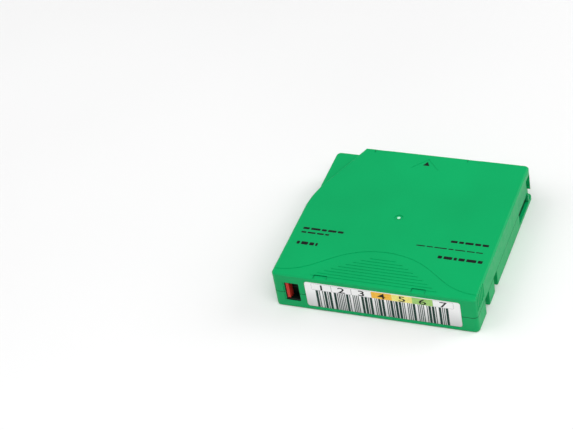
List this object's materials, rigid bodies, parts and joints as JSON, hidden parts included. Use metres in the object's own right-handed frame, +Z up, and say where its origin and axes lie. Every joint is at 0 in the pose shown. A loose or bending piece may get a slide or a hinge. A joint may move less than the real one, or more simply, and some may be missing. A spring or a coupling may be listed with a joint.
{
  "type": "data tape cartridge",
  "caption": "Flat square green plastic tape cartridge with a stepped leading corner, sliding side door, write-protect tab, label recess and one internal reel with brake.",
  "frame": {"origin": "middle of the case's footprint, on the surface that it lies on", "axes": "+X along the label side, towards the side with the door; +Y towards the edge that enters the drive first; +Z up, through the thickness"},
  "size_m": [0.1054, 0.102, 0.0215],
  "materials": {
    "case_plastic": "fine-grained moulded plastic, saturated green",
    "door_plastic": "smooth moulded plastic, slightly yellower green",
    "tab_plastic": "smooth moulded plastic, red",
    "label_paper": "satin label stock, white",
    "screw_steel": "plated steel",
    "pin_steel": "ground steel",
    "spring_steel": "spring steel wire and strip",
    "plate_steel": "stamped steel plate",
    "clip_plastic": "natural plastic, off-white",
    "reel_plastic": "moulded plastic, light grey",
    "brake_plastic": "low-friction moulded plastic, white",
    "tag_board": "thin circuit board, dark green",
    "tape_film": "coated tape, near black"
  },
  "bodies": {
    "case": {"lower_shell": "case_plastic", "upper_shell": "case_plastic", "case_screws": "screw_steel", "memory_tag": "tag_board", "cartridge_label": "label_paper", "leader_pin": "pin_steel", "leader_clip": "clip_plastic", "leader_tape": "tape_film", "pin_spring_upper": "spring_steel", "pin_spring_lower": "spring_steel", "door_spring": "spring_steel", "brake_spring": "spring_steel"},
    "reel": {"reel_hub": "reel_plastic", "reel_upper_flange": "reel_plastic", "drive_plate": "plate_steel", "tape_pack": "tape_film"},
    "brake": {"brake": "brake_plastic"},
    "release": {"release_plate": "brake_plastic"},
    "door": {"door": "door_plastic"},
    "write_protect": {"write_protect_tab": "tab_plastic"}
  },
  "joints": [
    {"name": "reel_spin", "type": "hinge", "parent": "case", "child": "reel", "pos_m": [-0.0017, 0, 0], "axis": [0, 0, 1], "continuous": true},
    {"name": "brake_lift", "type": "slide", "parent": "case", "child": "brake", "axis": [0, 0, 1], "range_m": [0, 0.0016], "stiffness_N_per_m": 800, "springref_m": -0.005, "deforming": ["brake_spring"]},
    {"name": "release_lift", "type": "slide", "parent": "reel", "child": "release", "axis": [0, 0, 1], "range_m": [0, 0.0016]},
    {"name": "door_slide", "type": "slide", "parent": "case", "child": "door", "axis": [0, -1, 0], "range_m": [0, 0.016], "stiffness_N_per_m": 60, "springref_m": -0.015, "deforming": ["door_spring"]},
    {"name": "write_protect_slide", "type": "slide", "parent": "case", "child": "write_protect", "axis": [1, 0, 0], "range_m": [0, 0.0052]}
  ],
  "couplings": [
    {"joint": "release_lift", "follows": "brake_lift", "ratio": 1}
  ]
}
